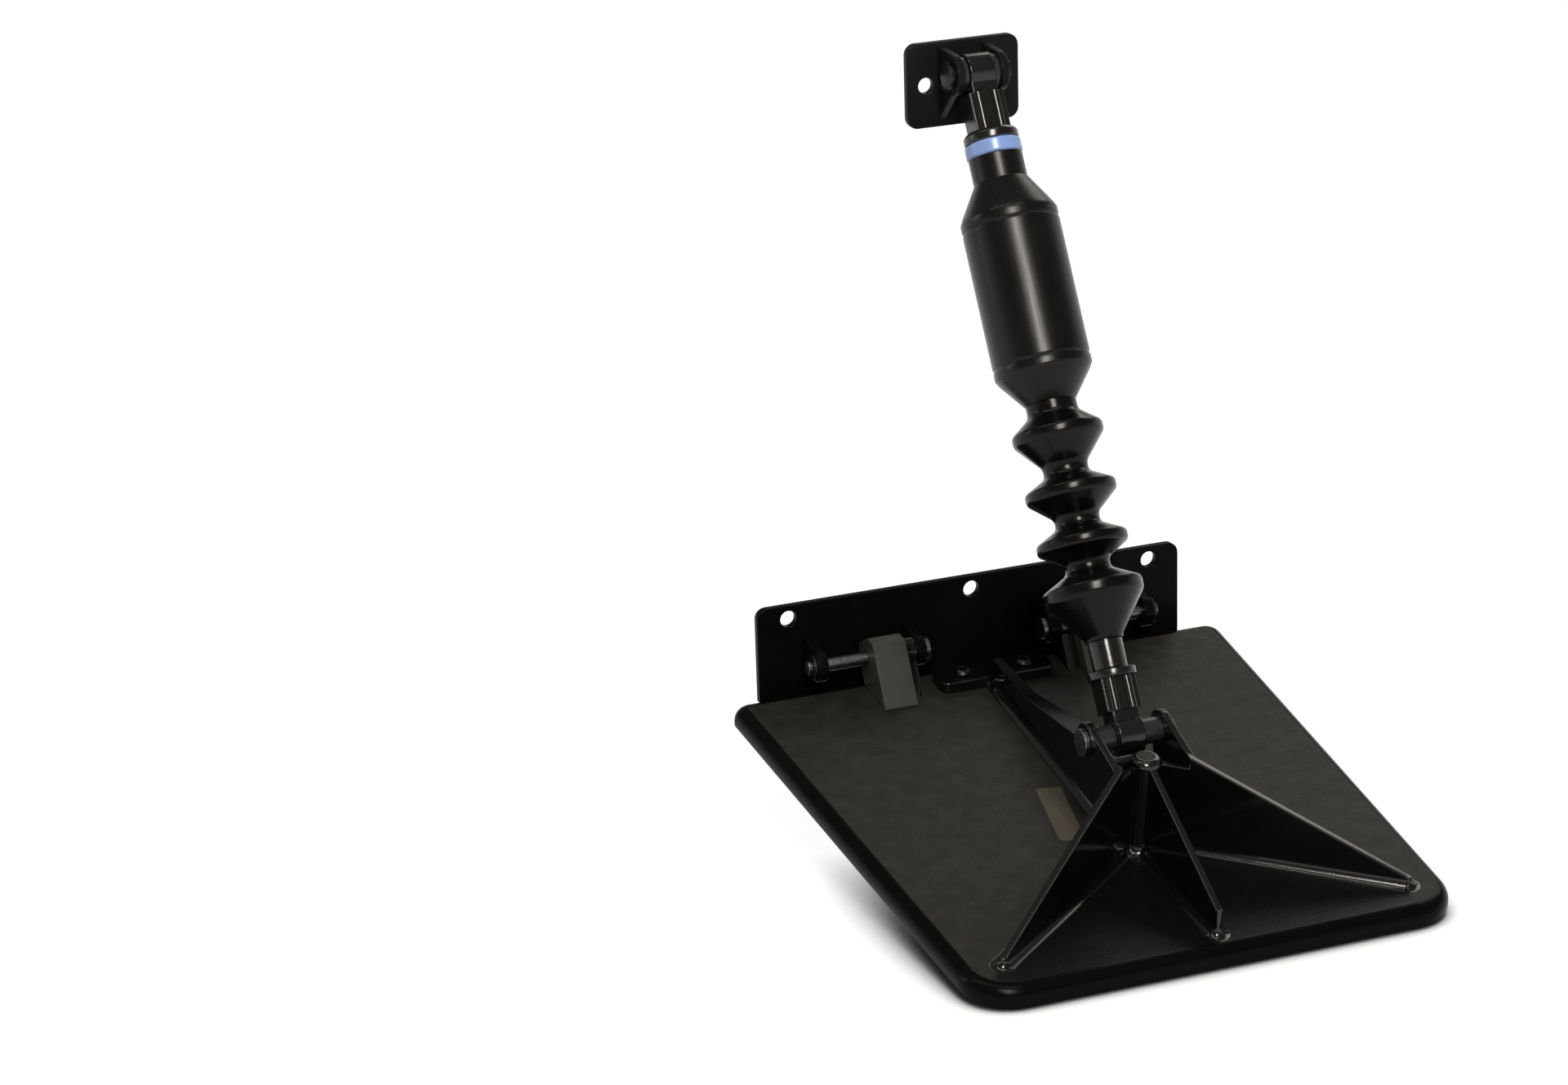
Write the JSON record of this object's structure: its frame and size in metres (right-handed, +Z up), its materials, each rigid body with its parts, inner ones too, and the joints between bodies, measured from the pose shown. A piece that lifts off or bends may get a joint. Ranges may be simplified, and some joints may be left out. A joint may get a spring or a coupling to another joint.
{
  "type": "boat trim tab",
  "caption": "Self-adjusting boat trim tab: a moulded tab on a transom hinge plate, pushed down by a gas strut in a rubber bellows with its own upper bracket.",
  "frame": {"origin": "centre of the middle bolt hole, on the mounting face of the hinge plate", "axes": "+X along the hinge, to the right seen from astern; +Y forward into the transom; +Z up"},
  "size_m": [0.2412, 0.258, 0.3353],
  "materials": {
    "gloss_black": "smooth moulded black plastic",
    "deck_black": "finely grained black composite",
    "keeper_grey": "matte grey acetal",
    "shroud_black": "satin moulded black plastic",
    "rubber_black": "satin black rubber",
    "stainless": "turned and blackened stainless steel",
    "spring_steel": "blued spring steel",
    "nylon": "black nylon",
    "bronze": "sintered bronze",
    "tube_paint": "black painted steel tube",
    "ring_blue": "moulded blue plastic"
  },
  "bodies": {
    "transom": {"hinge_plate": "gloss_black", "hinge_pins": "stainless", "hinge_pin_clips": "spring_steel", "upper_bracket": "gloss_black", "upper_pin": "stainless", "upper_pin_clip": "spring_steel", "upper_pin_washers": "nylon"},
    "tab": {"tab_plate": "deck_black", "pin_keepers": "keeper_grey", "knuckle_bushes": "nylon", "pad_screws": "stainless", "lower_pin": "stainless", "lower_pin_clip": "spring_steel", "lower_pin_spacers": "nylon"},
    "cylinder": {"top_fitting": "gloss_black", "top_eye_bush": "bronze", "end_plug": "spring_steel", "colour_ring": "ring_blue", "gas_tube": "tube_paint", "tube_shroud": "shroud_black", "rod_gland": "bronze", "rod_seal": "rubber_black", "bellows_boot": "rubber_black"},
    "rod": {"piston_rod": "stainless", "piston": "bronze", "piston_ring": "nylon", "boot_cuff": "gloss_black", "rod_end": "gloss_black", "rod_end_bush": "nylon"}
  },
  "joints": [
    {"name": "tab_hinge", "type": "hinge", "parent": "transom", "child": "tab", "pos_m": [0, -0.017, -0.0193], "axis": [-1, 0, 0], "range_deg": [0, 18], "stiffness_Nm_per_rad": 16, "springref_deg": -85.94},
    {"name": "strut_swing", "type": "hinge", "parent": "transom", "child": "cylinder", "pos_m": [0, -0.018, 0.242], "axis": [-1, 0, 0], "range_deg": [0, 3.5]},
    {"name": "rod_slide", "type": "slide", "parent": "cylinder", "child": "rod", "axis": [0, 0.4932, 0.8699], "range_m": [0, 0.043], "deforming": ["bellows_boot"]}
  ],
  "couplings": [
    {"joint": "strut_swing", "follows": "tab_hinge", "ratio": 0.19129},
    {"joint": "rod_slide", "follows": "tab_hinge", "m_per_rad": 0.1357}
  ]
}
